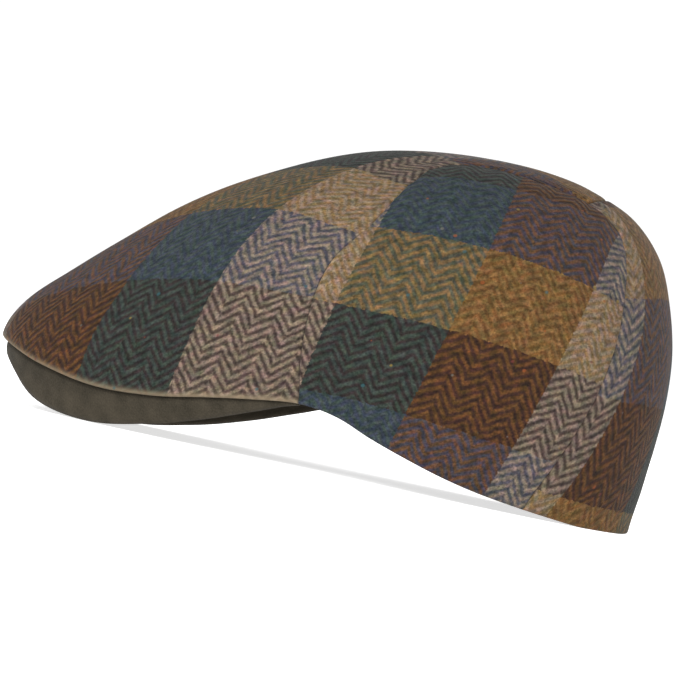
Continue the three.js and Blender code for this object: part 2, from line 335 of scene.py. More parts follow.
def inner_depth(distance, drop, lift, hem):
    """Depth of the inner face: one cloth, more behind the turned-up hem, and never less than a little."""
    depth = CLOTH - lift
    for border in hem:
        into = np.clip((HEM_HEIGHT - distance[border]) / HEM_STEP, 0, 1)
        depth += HEM_THICKNESS * into * np.clip(distance[border] / FOLD_RADIUS, 0, 1)
    return np.maximum(depth, drop + LEAST_CLOTH)


# %% Mesh of a closed wall
def grid_faces(grid):
    """Quads between the rows and columns of a grid of vertex numbers."""
    return np.stack([grid[:-1, :-1], grid[:-1, 1:], grid[1:, 1:], grid[1:, :-1]], -1).reshape(-1, 4)


def wall_mesh(name, outer, inner):
    """Closed mesh between an outer and an inner grid. Outer faces come first, then inner, then edges."""
    rows, columns = outer.shape[:2]
    count = rows * columns
    grid = np.arange(count).reshape(rows, columns)
    border = np.concatenate([grid[0], grid[1:, -1], grid[-1, -2::-1], grid[-2::-1, 0]])
    strip = np.stack([border[1:], border[:-1], border[:-1] + count, border[1:] + count], -1)
    faces = np.concatenate([grid_faces(grid), grid_faces(grid + count)[:, ::-1], strip])
    points = np.concatenate([outer.reshape(-1, 3), inner.reshape(-1, 3)])
    corner = points[faces]
    volume = np.einsum("ij,ij->i", corner[:, 0], np.cross(corner[:, 1], corner[:, 2])).sum()
    volume += np.einsum("ij,ij->i", corner[:, 0], np.cross(corner[:, 2], corner[:, 3])).sum()
    if volume < 0:
        faces = faces[:, ::-1]
    mesh = bpy.data.meshes.new(name)
    place = (points + [TIP_X, 0, 0]) * MM
    mesh.from_pydata(place.tolist(), [], faces.tolist())
    mesh.shade_smooth()
    piece = bpy.data.objects.new(name, mesh)
    bpy.context.scene.collection.objects.link(piece)
    print(name, "faces:", len(faces))
    return piece, len(grid_faces(grid))


# %% [markdown]
# ## Flattening a panel
# Tweed is flat when it is cut, so the weave has to run straight on the flattened panel. Blender's
# minimum-stretch unwrap lays a curved grid flat much as cloth would lie. It is then scaled to true
# millimetres and turned so that the grain runs the way the cutter laid it. A projection from one side
# would be simpler, but it would smear the weave where the crown turns away. Each piece gets two UV
# maps: "cloth" places the ribs and fibres, and "blocks" the check, whose rows are woven larger towards
# the front of the cap.

# %% Unwrap
UNWRAP_ROUNDS = 20


def unwrap(points, faces):
    """Minimum-stretch unwrap of a sheet of faces: one flat place for each of its points."""
    mesh = bpy.data.meshes.new("flat")
    mesh.from_pydata(points.tolist(), [], faces.tolist())
    piece = bpy.data.objects.new("flat", mesh)
    bpy.context.scene.collection.objects.link(piece)
    bpy.context.view_layer.objects.active = piece
    for other in bpy.context.selected_objects:
        other.select_set(False)
    piece.select_set(True)
    bpy.ops.object.mode_set(mode="EDIT")
    bpy.ops.mesh.select_all(action="SELECT")
    bpy.ops.uv.unwrap(method="MINIMUM_STRETCH", iterations=UNWRAP_ROUNDS, margin=0)
    bpy.ops.object.mode_set(mode="OBJECT")
    loops = np.zeros(len(mesh.loops) * 2)
    mesh.uv_layers.active.uv.foreach_get("vector", loops)
    corner = np.zeros(len(mesh.loops), int)
    mesh.loops.foreach_get("vertex_index", corner)
    flat = np.zeros((len(points), 2))
    flat[corner] = loops.reshape(-1, 2)
    bpy.data.objects.remove(piece)
    bpy.data.meshes.remove(mesh)
    return flat


# %% Flatten, scale and lay on the cloth
def flatten(outer, towards):
    """Flat coordinates in mm for a grid, turned to lie as well as they can along two directions."""
    rows, columns = outer.shape[:2]
    faces = grid_faces(np.arange(rows * columns).reshape(rows, columns))
    points = outer.reshape(-1, 3)
    flat = unwrap(points, faces)
    true = np.linalg.norm(points[faces[:, 1]] - points[faces[:, 0]], axis=1).sum()
    drawn = np.linalg.norm(flat[faces[:, 1]] - flat[faces[:, 0]], axis=1).sum()
    flat = flat * true / drawn
    flat -= flat.mean(0)
    target = points @ np.array(towards, float).T
    left, _, right = np.linalg.svd(flat.T @ (target - target.mean(0)))
    return flat @ (left @ right)


def lay_grain(flat, grain, skew, ease, start):
    """Cloth coordinates in mm. grain turns the piece on the cloth, skew pulls its weave out of square,
    ease is how much it is steamed narrower across and along the warp, and start is where it was cut."""
    across = np.array([math.cos(math.radians(grain)), math.sin(math.radians(grain))])
    along = np.array([-math.sin(math.radians(grain + skew)), math.cos(math.radians(grain + skew))])
    return flat @ np.array([across * ease[0], along * ease[1]]).T + np.array(start, float)


def lay_blocks(cloth, limits, offset):
    """Short of each limit it runs slower than the cloth, so its blocks are larger. The rows past the
    offset's line have their warp stripes set over by some mm."""
    check = cloth.copy()
    for k, (line, share) in enumerate(limits):
        check[:, k] += np.maximum(line - cloth[:, k], 0) * (1 - share)
    line, over = offset
    check[:, 0] += np.where(cloth[:, 1] > line, over, 0)
    return check


def put_map(piece, name, coordinates):
    """Gives both faces of a wall the same coordinates, as a UV map."""
    mesh = piece.data
    both = np.concatenate([coordinates, coordinates])
    corner = np.zeros(len(mesh.loops), int)
    mesh.loops.foreach_get("vertex_index", corner)
    layer = mesh.uv_layers.new(name=name)
    layer.uv.foreach_set("vector", both[corner].ravel())


# %% [markdown]
# ## Colours and nodes
# Yarn colours are given as sRGB hex and turned to the linear values that shaders use. One small
# function adds a node, sets it up and links it, which keeps the materials short to read.

# %% Node helpers
def colour(code):
    """sRGB hex to the linear colour that a shader's socket takes."""
    parts = [int(code[k:k + 2], 16) / 255 for k in (1, 3, 5)]
    linear = [c / 12.92 if c <= .04045 else ((c + .055) / 1.055) ** 2.4 for c in parts]
    return (*linear, 1)


def node(tree, kind, links=None, **settings):
    """Adds a node. settings are its properties, links its inputs: a value, or a socket to link from."""
    made = tree.nodes.new(kind)
    for name, value in settings.items():
        setattr(made, name, value)
    for name, value in (links or {}).items():
        if isinstance(value, bpy.types.NodeSocket):
            tree.links.new(value, made.inputs[name])
        else:
            made.inputs[name].default_value = value
    return made


def new_material(name):
    """Empty material and its node tree."""
    material = bpy.data.materials.new(name)
    material.use_nodes = True
    material.node_tree.nodes.clear()
    return material, material.node_tree


def pick_colour(tree, value, codes, starts):
    """Hard steps of colour for a value from 0 to 1. starts says where each colour begins."""
    ramp = node(tree, "ShaderNodeValToRGB", {0: value})
    ramp.color_ramp.interpolation = "CONSTANT"
    while len(ramp.color_ramp.elements) < len(codes):
        ramp.color_ramp.elements.new(.5)
    for element, code, start in zip(ramp.color_ramp.elements, codes, starts):
        element.position = start
        element.color = colour(code)
    return ramp.outputs[0]


def stripes(tree, place, table):
    """Stripes of yarn that repeat over the cloth. The table has a width in mm and a colour for each."""
    widths = [width for width, _ in table]
    repeats = node(tree, "ShaderNodeMath", {0: place, 1: sum(widths)}, operation="DIVIDE").outputs[0]
    repeat = node(tree, "ShaderNodeMath", {0: repeats}, operation="FRACT").outputs[0]
    starts = [sum(widths[:k]) / sum(widths) for k in range(len(widths))]
    return pick_colour(tree, repeat, [code for _, code in table], starts)


# %% [markdown]
# ## The tweed
# In a herringbone twill the warp and weft yarns take turns on top in slanting ribs, and the slant
# turns over at every band. A picture of the cloth could be wrapped round the cap, but a rule stays
# sharp at any size, and it is a simple one: the material says which yarn is on top. The block
# patchwork, the bold chevrons where a light warp meets a dark weft, and the plain woolly look where two
# like colours meet all follow by themselves, as they do on the loom.

# %% Sizes of the weave in mm, and its yarns
# Each stripe has a width and a yarn colour. BAND is the width over which the ribs keep one slant, RIB is
# one rib and one gap measured along the warp, and RIB_SLOPE is the slant. RIB_LEAN tips the ribs of both
# slants the same way, because the cloth is a little out of square.
WARP = [(44.0, "#4D3319"), (44.0, "#2D3731"), (54.0, "#6C5F52")]
WEFT = [(38.0, "#201416"), (38.0, "#262C3A"), (38.0, "#604A2B")]
BAND = 7.4
RIB = 4.1
RIB_SLOPE = .96
RIB_LEAN = .215
for word, table in (("warp", WARP), ("weft", WEFT)):
    print(word, "repeats every", sum(width for width, _ in table), "mm")

# %% Wandering yarns
# Yarns lie a little crooked over some centimetres, and the border of a block is frayed by single yarns.
# The scale of a noise is how many of its features lie on one millimetre of cloth.
WANDER = 2.4
WANDER_SCALE = .13
FRAY = 2.2
FRAY_SCALE = .8


def moved_by(tree, noise_scale, amount, cloth):
    """Cloth coordinates pushed about by up to about a third of an amount in mm."""
    push = node(tree, "ShaderNodeTexNoise", {"Vector": cloth, "Scale": noise_scale, "Detail": 3.0})
    centred = node(tree, "ShaderNodeVectorMath", {0: push.outputs["Color"], 1: (.5, .5, .5)},
                   operation="SUBTRACT").outputs[0]
    moved = node(tree, "ShaderNodeVectorMath", {0: centred, 1: (amount, amount, 0), 2: cloth},
                 operation="MULTIPLY_ADD").outputs[0]
    return node(tree, "ShaderNodeSeparateXYZ", {0: moved}).outputs


def ribs(tree, cloth):
    """Wave across the slanting ribs: -1 in the middle of a weft float, 1 in the middle of a warp float."""
    place = moved_by(tree, WANDER_SCALE, WANDER, cloth)
    zigzag = node(tree, "ShaderNodeMath", {0: place[0], 1: BAND}, operation="PINGPONG").outputs[0]
    leaning = node(tree, "ShaderNodeMath", {0: place[0], 1: RIB_LEAN, 2: place[1]},
                   operation="MULTIPLY_ADD").outputs[0]
    slanting = node(tree, "ShaderNodeMath", {0: zigzag, 1: RIB_SLOPE, 2: leaning},
                    operation="MULTIPLY_ADD").outputs[0]
    turns = node(tree, "ShaderNodeMath", {0: slanting, 1: 2 * math.pi / RIB},
                 operation="MULTIPLY").outputs[0]
    return node(tree, "ShaderNodeMath", {0: turns}, operation="SINE").outputs[0]


# %% The yarn on top
# Hairy yarn blurs the step from warp to weft. RIB_SHOW is how much of the colour changes from rib to gap,
# because the other yarn always shows a little between the hairs.
YARN_SCALE = .55
YARN_HAIR = 3.2
RIB_BLUR = 1.2
RIB_SHOW = .66


def twill(tree, cloth, blocks):
    """Colour of the yarn on top, and the rib wave and hairiness, which also raise the cloth."""
    border = moved_by(tree, FRAY_SCALE, FRAY, blocks)
    warp = stripes(tree, border[0], WARP)
    weft = stripes(tree, border[1], WEFT)
    wave = ribs(tree, cloth)
    hair = node(tree, "ShaderNodeTexNoise",
                {"Vector": cloth, "Scale": YARN_SCALE, "Detail": 4.0, "Roughness": .7}).outputs[0]
    centred = node(tree, "ShaderNodeMath", {0: hair, 1: .5}, operation="SUBTRACT").outputs[0]
    hairy = node(tree, "ShaderNodeMath", {0: centred, 1: YARN_HAIR, 2: wave},
                 operation="MULTIPLY_ADD").outputs[0]
    on_top = node(tree, "ShaderNodeMapRange",
                  {0: hairy, 1: -RIB_BLUR, 2: RIB_BLUR, 3: .5 - RIB_SHOW / 2, 4: .5 + RIB_SHOW / 2},
                  interpolation_type="SMOOTHSTEP").outputs[0]
    woven = node(tree, "ShaderNodeMix", {0: on_top, 6: weft, 7: warp}, data_type="RGBA").outputs[2]
    return woven, wave, hair


# %% Spun wool
# Wool is dyed before it is spun, so each yarn holds fibres of other shades and a hint of other colours,
# and it is thicker and lighter in places, which a spinner calls slubs.
FIBRE_SCALE = 1.0
FIBRE_SHADE = (.35, 1.65)
SLUB_SCALE = .3
SLUB_SHADE = (.72, 1.4)
HEATHER = .3
HEATHER_SCALE = .3


def spun(tree, cloth, woven):
    """The woven colour with its fibres, slubs and heather, and the fibres' own pattern."""
    fibre = node(tree, "ShaderNodeTexNoise",
                 {"Vector": cloth, "Scale": FIBRE_SCALE, "Detail": 5.0, "Roughness": .75}).outputs[0]
    slub = node(tree, "ShaderNodeTexNoise",
                {"Vector": cloth, "Scale": SLUB_SCALE, "Detail": 2.0}).outputs[0]
    tint = node(tree, "ShaderNodeTexNoise", {"Vector": cloth, "Scale": HEATHER_SCALE, "Detail": 4.0})
    heather = node(tree, "ShaderNodeMix", {0: HEATHER, 6: woven, 7: tint.outputs["Color"]},
                   data_type="RGBA", blend_type="OVERLAY").outputs[2]
    dark, light = FIBRE_SHADE
    fine = node(tree, "ShaderNodeMapRange", {0: fibre, 1: .3, 2: .7, 3: dark, 4: light}).outputs[0]
    dark, light = SLUB_SHADE
    broad = node(tree, "ShaderNodeMapRange", {0: slub, 1: .35, 2: .68, 3: dark, 4: light}).outputs[0]
    shade = node(tree, "ShaderNodeMath", {0: fine, 1: broad}, operation="MULTIPLY").outputs[0]
    shaded = node(tree, "ShaderNodeVectorMath", {0: heather, "Scale": shade}, operation="SCALE").outputs[0]
    return shaded, fibre


# %% Worn fold with a painted highlight
# The fold over the peak is handled most, so its nap is rubbed pale, and the pale colour is also a painted
# highlight where the rounded fold catches the light. The panel says where, in an attribute.
WORN_AND_HIGHLIGHT_WOOL = "#85765F"
WORN_AND_HIGHLIGHT_SHARE = .65


def paint_wear_and_highlight(tree, under):
    """Pale, rubbed nap and a painted highlight over a colour, where the attribute asks for it."""
    folded = node(tree, "ShaderNodeAttribute", attribute_name="wear_and_highlight").outputs["Fac"]
    amount = node(tree, "ShaderNodeMath", {0: folded, 1: WORN_AND_HIGHLIGHT_SHARE}, operation="MULTIPLY").outputs[0]
    return node(tree, "ShaderNodeMix", {0: amount, 6: under, 7: colour(WORN_AND_HIGHLIGHT_WOOL)},
                data_type="RGBA").outputs[2]


# %% Flecks
# Neps of bright wool are carded in. There is one in every second cell of 6 mm, up to 2 mm across.
FLECKS = ["#7A4020", "#264A50", "#7A6630", "#5A2B27", "#5E5C56"]
FLECK_SCALE = .17
FLECK_SIZE = .17
FLECK_EDGE = .05
FLECK_SHARE = .6


def flecks(tree, cloth, under):
    """Small neps of bright wool, a few to each block, each of one colour."""
    cells = node(tree, "ShaderNodeTexVoronoi", {"Vector": cloth, "Scale": FLECK_SCALE, "Randomness": 1.0})
    pick = node(tree, "ShaderNodeSeparateColor", {0: cells.outputs["Color"]}).outputs
    size = node(tree, "ShaderNodeMapRange", {0: pick[0], 1: .5, 2: 1, 3: 0, 4: FLECK_SIZE}).outputs[0]
    depth = node(tree, "ShaderNodeMath", {0: size, 1: cells.outputs["Distance"]}, operation="SUBTRACT")
    inside = node(tree, "ShaderNodeMapRange",
                  {0: depth.outputs[0], 1: 0, 2: FLECK_EDGE, 3: 0, 4: FLECK_SHARE}).outputs[0]
    starts = [k / len(FLECKS) for k in range(len(FLECKS))]
    bright = pick_colour(tree, pick[1], FLECKS, starts)
    return node(tree, "ShaderNodeMix", {0: inside, 6: under, 7: bright}, data_type="RGBA").outputs[2]


# %% Surface of wool
def wool(tree, base, normal):
    """Woollen surface: no shine, and a soft sheen from the fibres that stand up."""
    shader = node(tree, "ShaderNodeBsdfPrincipled", {
        "Base Color": base, "Roughness": .95, "IOR": 1.45, "Specular IOR Level": .12,
        "Sheen Weight": .05, "Sheen Roughness": .5, "Normal": normal})
    node(tree, "ShaderNodeOutputMaterial", {0: shader.outputs[0]})


# %% Tweed material
# Relief in mm, and how much of it the ribs, the fibres and the hairy yarn make.
TWEED_RELIEF = .45
RIB_RELIEF = .3
FIBRE_RELIEF = .9
HAIR_RELIEF = .8


def tweed():
    """Brushed woollen tweed: the ribs stand up a little, and the nap breaks their edges."""
    material, tree = new_material("herringbone_wool_tweed")
    cloth = node(tree, "ShaderNodeUVMap", uv_map="cloth").outputs[0]
    blocks = node(tree, "ShaderNodeUVMap", uv_map="blocks").outputs[0]
    woven, wave, hair = twill(tree, cloth, blocks)
    shaded, fibre = spun(tree, cloth, woven)
    # The fold's pale colour is worn nap and a painted highlight.
    coloured = flecks(tree, cloth, paint_wear_and_highlight(tree, shaded))
    height = node(tree, "ShaderNodeMath", {0: wave, 1: RIB_RELIEF}, operation="MULTIPLY").outputs[0]
    for nap, share in ((fibre, FIBRE_RELIEF), (hair, HAIR_RELIEF)):
        height = node(tree, "ShaderNodeMath", {0: nap, 1: share, 2: height},
                      operation="MULTIPLY_ADD").outputs[0]
    bump = node(tree, "ShaderNodeBump", {"Height": height, "Strength": .8, "Distance": TWEED_RELIEF * MM})
    wool(tree, coloured, bump.outputs[0])
    print(material.name, "nodes:", len(tree.nodes))
    return material


# %% [markdown]
# ## Plain wool for the peak and the inside
# The peak is covered in plain dark olive-brown wool, milled until its weave hardly shows. Real hair
# curves could stand on it as nap, but at this size they would be too fine to see, so noise does it: a
# mottled nap, broad faint clouds and a few flecks. The cap's inside is finished with the same cloth in
# brown.

# %% Plain wool material
NAP_SCALE = 1.6
CLOUD_SCALE = .12
NAP_SHARE = .6
CLOUD_SHARE = .4
NAP_RELIEF = .4


def plain_wool(name, dark, light):
    """Milled wool between a dark and a light shade: fine nap over broad, faint clouds."""
    material, tree = new_material(name)
    cloth = node(tree, "ShaderNodeUVMap", uv_map="cloth").outputs[0]
    nap = node(tree, "ShaderNodeTexNoise",
               {"Vector": cloth, "Scale": NAP_SCALE, "Detail": 6.0, "Roughness": .7}).outputs[0]
    cloud = node(tree, "ShaderNodeTexNoise",
                 {"Vector": cloth, "Scale": CLOUD_SCALE, "Detail": 3.0}).outputs[0]
    fine = node(tree, "ShaderNodeMath", {0: nap, 1: NAP_SHARE}, operation="MULTIPLY").outputs[0]
    mottle = node(tree, "ShaderNodeMath", {0: cloud, 1: CLOUD_SHARE, 2: fine},
                  operation="MULTIPLY_ADD").outputs[0]
    amount = node(tree, "ShaderNodeMapRange", {0: mottle, 1: .35, 2: .65}).outputs[0]
    base = node(tree, "ShaderNodeMix", {0: amount, 6: colour(dark), 7: colour(light)}, data_type="RGBA")
    coloured = flecks(tree, cloth, base.outputs[2])
    bump = node(tree, "ShaderNodeBump", {"Height": nap, "Strength": .7, "Distance": NAP_RELIEF * MM})
    wool(tree, coloured, bump.outputs[0])
    print(material.name, "nodes:", len(tree.nodes))
    return material


tweed_cloth = tweed()
peak_cloth = plain_wool("milled_olive_wool", "#25221B", "#413B31")
inside_cloth = plain_wool("brown_wool_backing", "#2A2320", "#3E342D")

# %% [markdown]
# ## Sewing the crown
# Each panel now gets its grid, its cloth faces, its flat coordinates and its two materials: tweed
# outside, plain wool backing inside. The front panel narrows from the peak to a waist on top of the
# crown, the back panel widens from there down to the rim, and an ear-shaped panel closes each side.
# One function sews all four, so they differ only in their borders and in how they were cut.

# %% Hem line and the worn fold with its painted highlight
STITCH_HEIGHT = 11.0
STITCH_PROUD = .1
SEAM_CLEAR = 4
WORN_AND_HIGHLIGHT_WIDTH = 1.5
hem_lines = []


def line_at(points, distance, wanted):
    """Line across a grid at one distance from a border, clear of the seams at its ends."""
    line = []
    for column in range(SEAM_CLEAR, points.shape[1] - SEAM_CLEAR):
        order = np.argsort(distance[:, column])
        away = distance[order, column]
        line.append([np.interp(wanted, away, points[order, column, k]) for k in range(3)])
    return np.array(line)


def mark_wear_and_highlight(piece, shape, distances):
    """Attribute for the tweed's worn nap and painted highlight: 1 on the outer face at the fold, fading
    out from it, 0 elsewhere.
    """
    wear_and_highlight = np.zeros((2, *shape))
    for distance in distances:
        # Painted highlight and pale wear along the fold, strongest at its edge.
        wear_and_highlight[0] = np.exp(-(distance / WORN_AND_HIGHLIGHT_WIDTH) ** 2)
    layer = piece.data.attributes.new("wear_and_highlight", "FLOAT", "POINT")
    layer.data.foreach_set("value", wear_and_highlight.ravel())


# %% Panel maker
def panel_walls(points, normal, folds, drop, depth):
    """Outer and inner grid of a panel. A fold keeps its height, and nothing goes under the floor."""
    outer = points - normal * drop[..., None]
    inner = points - normal * depth[..., None]
    for border, row in (("bottom", 0), ("top", -1)):
        if border in folds:
            inner[row, :, 2] = outer[row, :, 2] = points[row, :, 2]
    for face in (outer, inner):
        face[..., 2] = np.maximum(face[..., 2], 0)
    return outer, inner


def sew(name, node_name, places, seams, folds, hem, towards, lay, seed, limits=(), offset=(0, 0)):
    """One panel of the crown, from its grid of map places. hem names the folds that are turned up,
    towards is the way it lies when flat, and seed shapes its drape."""
    points, normal, distance, drop, lift = cloth_faces(places, seams, folds, seed)
    depth = inner_depth(distance, drop, lift, hem)
    outer, inner = panel_walls(points, normal, folds, drop, depth)
    piece, face_count = wall_mesh(name, outer, inner)
    flat = flatten(points, towards)
    print(name, "flat size in mm:", np.ptp(flat, axis=0).round())
    cloth = lay_grain(flat, *lay)
    put_map(piece, "cloth", cloth)
    put_map(piece, "blocks", lay_blocks(cloth, limits, offset))
    mark_wear_and_highlight(piece, points.shape[:2], [distance[border] for border in folds if border not in hem])
    for border in hem:
        hem_lines.append(line_at(inner - STITCH_PROUD * normal, distance[border], STITCH_HEIGHT))
    piece.data.materials.append(tweed_cloth)
    piece.data.materials.append(inside_cloth)
    index = np.zeros(len(piece.data.polygons), int)
    index[face_count:2 * face_count] = 1
    piece.data.polygons.foreach_set("material_index", index)
    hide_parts(node_name)
    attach(piece, "root")


# %% Front and back panels
# A lay is the turn of the grain and its skew in degrees, the ease across and along the warp, and the
# place on the cloth in mm. A limit is a place on the cloth in mm and how slowly the check runs there.
# The offset sets the warp stripes over at the front panel's far end, on top of the crown, which puts
# darker blocks there.
FRONT_LAY = (-59.5, 20.0, (1.05, 1.06), (36.0, 146.8))
FRONT_LIMITS = ((44.0, .72), (38.0, .74))
FRONT_OFFSET = (151.5, 50.0)
BACK_LAY = (69.0, 19.5, (1.0, .88), (47.3, 51.7))


def middle_places(up):
    """Map places of a panel between the two long seams, for shares of the way from peak to rim."""
    across = shares(110, 170)
    front = edge_line(-PEAK_END, PEAK_END, across, 1)
    back = edge_line(360 - SIDE_PANEL_END, SIDE_PANEL_END, across, 1)
    return patch(front, back, seam_line(-1, up), seam_line(1, up), across, up)


front_places = middle_places(WAIST * shares(100, 200))
sew("crown_front_panel", "front_panel", front_places, ("left", "right", "top"), ("bottom",), (),
    [[1, 0, 0], [0, 1, 0]], FRONT_LAY, 3.0, FRONT_LIMITS, FRONT_OFFSET)
back_places = middle_places(WAIST + (1 - WAIST) * shares(80, 150))
sew("crown_back_panel", "back_panel", back_places, ("left", "right", "bottom"), ("top",), ("top",),
    [[0, 0, -1], [0, 1, 0]], BACK_LAY, 5.0)

# %% Side panels
# Both sides are cut alike but from two places on the cloth, so their blocks don't mirror each other.
SIDE_LAY = {
    -1: (166.0, 11.5, (1.0, 1.06), (38.9, -16.7)),
    1: (166.0, 11.5, (1.0, 1.06), (60.0, 30.0)),
}


def side_places(side):
    """Map places of a side panel: rim below, and the long seam round its front, top and back."""
    across = up = shares(60, 150)
    lower, upper = SIDE_CORNERS
    rim = edge_line(PEAK_END, SIDE_PANEL_END, across, side)
    top = seam_line(side, lower + (upper - lower) * across)
    front = seam_line(side, lower * up)
    back = seam_line(side, 1 - (1 - upper) * up)
    return patch(rim, top, front, back, across, up)


for side, word in ((-1, "left"), (1, "right")):
    sew("crown_side_panel_" + word, "side_panel_" + word, side_places(side), ("left", "right", "top"),
        ("bottom",), ("bottom",), [[1, 0, 0], [0, 0, 1]], SIDE_LAY[side], 7.0 + side)

# %% [markdown]
# ## Hem stitches
# The turned-up hem is caught down inside with a row of hand stitches. A stitch that repeats along a line
# is work for Geometry Nodes: the line is measured off in even steps, and a short, round-ended piece of
# thread is set on each, turned along the line and a little off it, as a hand leaves it. Stitches drawn
# in the material would be flat, and the raised thread is what one sees when the cap is turned over.

# %% Stitch tree's inputs and turns
STITCH_SPACING = 5.5
STITCH_LENGTH = 3.2
THREAD = .55
STITCH_TILT = .12


def tree_of(name, takes, numbers, gives):
    """Empty Geometry Nodes tree that takes a geometry and some numbers and gives a geometry."""
    tree = bpy.data.node_groups.new(name, "GeometryNodeTree")
    tree.interface.new_socket(takes, in_out="INPUT", socket_type="NodeSocketGeometry")
    for number in numbers:
        tree.interface.new_socket(number, in_out="INPUT", socket_type="NodeSocketFloat")
    tree.interface.new_socket(gives, in_out="OUTPUT", socket_type="NodeSocketGeometry")
    return tree


def stitch_turns(tree, unevenness):
    """Rotation of each stitch: along the line, and off it by a random angle with a fixed seed."""
    along = node(tree, "GeometryNodeInputTangent").outputs[0]
    turned = node(tree, "FunctionNodeAlignRotationToVector", {"Vector": along}, axis="Z").outputs[0]
    most = node(tree, "ShaderNodeCombineXYZ", {0: unevenness, 1: unevenness}).outputs[0]
    least = node(tree, "ShaderNodeVectorMath", {0: most, "Scale": -1.0}, operation="SCALE").outputs[0]
    off = node(tree, "FunctionNodeRandomValue", {0: least, 1: most, "Seed": 7}, data_type="FLOAT_VECTOR")
    angle = node(tree, "FunctionNodeEulerToRotation", {0: off.outputs[0]}).outputs[0]
    return node(tree, "FunctionNodeRotateRotation", {0: turned, 1: angle},
                rotation_space="LOCAL").outputs[0]


# %% Stitch tree
BEAD_ROUNDS = 2
BEAD_FACES = 80


def stitch_tree(thread):
    """A bead of half a millimetre radius is stretched to the stitch's size at each step of the line."""
    tree = tree_of("stitches_along_a_line", "Line", ("Spacing", "Length", "Thickness", "Unevenness"),
                   "Stitches")
    given = node(tree, "NodeGroupInput").outputs
    curve = node(tree, "GeometryNodeMeshToCurve", {0: given["Line"]}).outputs[0]
    steps = node(tree, "GeometryNodeResampleCurve", {"Curve": curve, "Length": given["Spacing"]},
                 mode="LENGTH").outputs[0]
    bead = node(tree, "GeometryNodeMeshIcoSphere", {"Radius": .5, "Subdivisions": BEAD_ROUNDS}).outputs[0]
    size = node(tree, "ShaderNodeCombineXYZ", {
        0: given["Thickness"], 1: given["Thickness"], 2: given["Length"]}).outputs[0]
    placed = node(tree, "GeometryNodeInstanceOnPoints", {
        "Points": steps, "Instance": bead, "Scale": size,
        "Rotation": stitch_turns(tree, given["Unevenness"])}).outputs[0]
    solid = node(tree, "GeometryNodeRealizeInstances", {0: placed}).outputs[0]
    done = node(tree, "GeometryNodeSetMaterial", {"Geometry": solid, "Material": thread}).outputs[0]
    node(tree, "NodeGroupOutput", {0: done})
    return tree


# %% Thread
def waxed_thread():
    """Waxed cotton thread: dark brown, smooth and a little shiny beside the wool."""
    material, tree = new_material("waxed_cotton_thread")
    shader = node(tree, "ShaderNodeBsdfPrincipled", {"Base Color": colour("#4A3C2E"), "Roughness": .55})
    node(tree, "ShaderNodeOutputMaterial", {0: shader.outputs[0]})
    return material


# %% Hem lines as one mesh
def mesh_of_lines(name, lines):
    """Object with an edge from each place of a line to the next."""
    places = [(place + [TIP_X, 0, 0]) * MM for line in lines for place in line]
    ends = np.cumsum([len(line) for line in lines])
    edges = [(k, k + 1) for k in range(len(places) - 1) if k + 1 not in ends]
    mesh = bpy.data.meshes.new(name)
    mesh.from_pydata(places, edges, [])
    piece = bpy.data.objects.new(name, mesh)
    bpy.context.scene.collection.objects.link(piece)
    print(name, "lines:", len(lines), "places:", len(places))
    return piece


carrier = mesh_of_lines("hem_lines", hem_lines)

# %% Row of stitches
thread = waxed_thread()
maker = carrier.modifiers.new("stitches", "NODES")
maker.node_group = stitch_tree(thread)
sizes = {
    "Spacing": STITCH_SPACING * MM,
    "Length": STITCH_LENGTH * MM,
    "Thickness": THREAD * MM,
    "Unevenness": STITCH_TILT,
}
for socket in maker.node_group.interface.items_tree:
    if socket.in_out == "INPUT" and socket.name in sizes:
        maker[socket.identifier] = sizes[socket.name]

# %% Stitches as a plain mesh
evaluated = carrier.evaluated_get(bpy.context.evaluated_depsgraph_get())
stitch_mesh = bpy.data.meshes.new_from_object(evaluated)
stitch_mesh.materials.clear()
stitch_mesh.materials.append(thread)
stitch_mesh.polygons.foreach_set("material_index", [0] * len(stitch_mesh.polygons))
bpy.data.objects.remove(carrier)
hem_stitches = bpy.data.objects.new("hem_stitches", stitch_mesh)
bpy.context.scene.collection.objects.link(hem_stitches)
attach(hem_stitches, "root")
print("hem stitches:", len(stitch_mesh.polygons) // BEAD_FACES)

# %% [markdown]
# ## The peak
# The peak is a stiff crescent board covered in wool. Its section is a thin strip with rounded edges that
# starts at the forehead, bows up a little, passes just inside the crown's front edge and turns down as
# the lip. A flat crescent could be bent with modifiers, but then it would have to be fitted to the crown.
# So the section is worked out in each direction from the crown's own edge, and lofted from one end of the
# peak to the other.

# %% Where the peak meets the crown
def peak_meet(direction):
    """Middle of the board under the crown's edge, and the level way out from there."""
    angle = np.radians(direction)
    back, side = -np.cos(angle), np.sin(angle)
    edge = crown(back, side)
    normal = crown_normal(back, side)
    outward = normal * [1, 1, 0]
    outward /= np.linalg.norm(outward, axis=-1, keepdims=True)
    meet = edge - CLOTH * normal - (PEAK_GAP + BOARD / 2) * outward
    meet[..., 2] = edge[..., 2]
    return meet, outward


# %% Peak sections
BOARD_POINTS = 25
LIP_POINTS = 9
BEND_ROUNDS = 6


